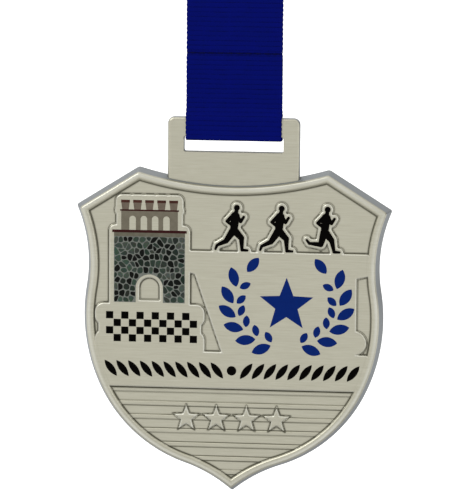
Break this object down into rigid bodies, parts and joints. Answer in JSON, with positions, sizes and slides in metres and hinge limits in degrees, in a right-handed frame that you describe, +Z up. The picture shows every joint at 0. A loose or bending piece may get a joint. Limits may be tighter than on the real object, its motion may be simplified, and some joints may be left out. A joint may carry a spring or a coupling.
{
  "type": "finisher medal",
  "caption": "Cast shield-shaped sports finisher medal with enamel pictures, hanging by its slotted tab from a sewn, wound-up neck ribbon.",
  "frame": {"origin": "axis of the display hook, in the middle of the eye of the wound-up ribbon", "axes": "+X to the right as the pictures are read, +Z up along the ribbon, the pictures face -Y and the plain back faces +Y"},
  "size_m": [0.0826, 0.0128, 0.1916],
  "materials": {
    "antique_silver": "die-cast, plated antique silver, brushed bright on the raised faces and dark in the recesses",
    "mortar_enamel": "satin mid-grey fill",
    "stone_enamel": "satin dark green-grey fill, stone by stone in uneven tones",
    "frieze_enamel": "glossy brown-grey fill",
    "cornice_enamel": "glossy dark red fill",
    "gallery_enamel": "glossy brown-grey fill",
    "merlon_enamel": "glossy brown-grey fill",
    "cap_enamel": "glossy dark red fill",
    "navy_enamel": "glossy navy fill",
    "black_enamel": "glossy black fill",
    "navy_grosgrain": "ribbed woven polyester ribbon, deep royal navy",
    "stitch_thread": "navy sewing thread",
    "tie_elastic": "black knitted elastic"
  },
  "bodies": {
    "wound_ribbon": {"ribbon_hank": "navy_grosgrain", "hank_tie": "tie_elastic"},
    "upper_strap": {"strap_upper": "navy_grosgrain"},
    "lower_strap": {"strap_lower": "navy_grosgrain", "seam_stitching": "stitch_thread"},
    "ribbon_turn": {"ribbon_bight": "navy_grosgrain"},
    "medal": {"medal_casting": "antique_silver", "tower_mortar": "mortar_enamel", "tower_stones": "stone_enamel", "tower_frieze": "frieze_enamel", "tower_cornice": "cornice_enamel", "tower_gallery": "gallery_enamel", "tower_string_course": "cornice_enamel", "tower_merlons": "merlon_enamel", "merlon_caps": "cap_enamel", "laurel_left": "navy_enamel", "laurel_right": "navy_enamel", "large_star": "navy_enamel", "chequered_band": "black_enamel", "leaf_border": "black_enamel", "runner_1": "black_enamel", "runner_2": "black_enamel", "runner_3": "black_enamel"}
  },
  "joints": [
    {"name": "strap_swing", "type": "hinge", "parent": "wound_ribbon", "child": "upper_strap", "pos_m": [0, -0.0033, -0.0536], "axis": [1, 0, 0], "range_deg": [-60, 60]},
    {"name": "strap_twist", "type": "hinge", "parent": "upper_strap", "child": "lower_strap", "pos_m": [0, -0.0033, -0.06415], "axis": [0, 0, 1], "range_deg": [-90, 90], "stiffness_Nm_per_rad": 0.002},
    {"name": "medal_swing", "type": "hinge", "parent": "lower_strap", "child": "ribbon_turn", "pos_m": [0, -0.0033, -0.084], "axis": [1, 0, 0], "range_deg": [-120, 120]},
    {"name": "medal_slide", "type": "slide", "parent": "ribbon_turn", "child": "medal", "axis": [1, 0, 0], "range_m": [-0.00035, 0.00035]}
  ]
}
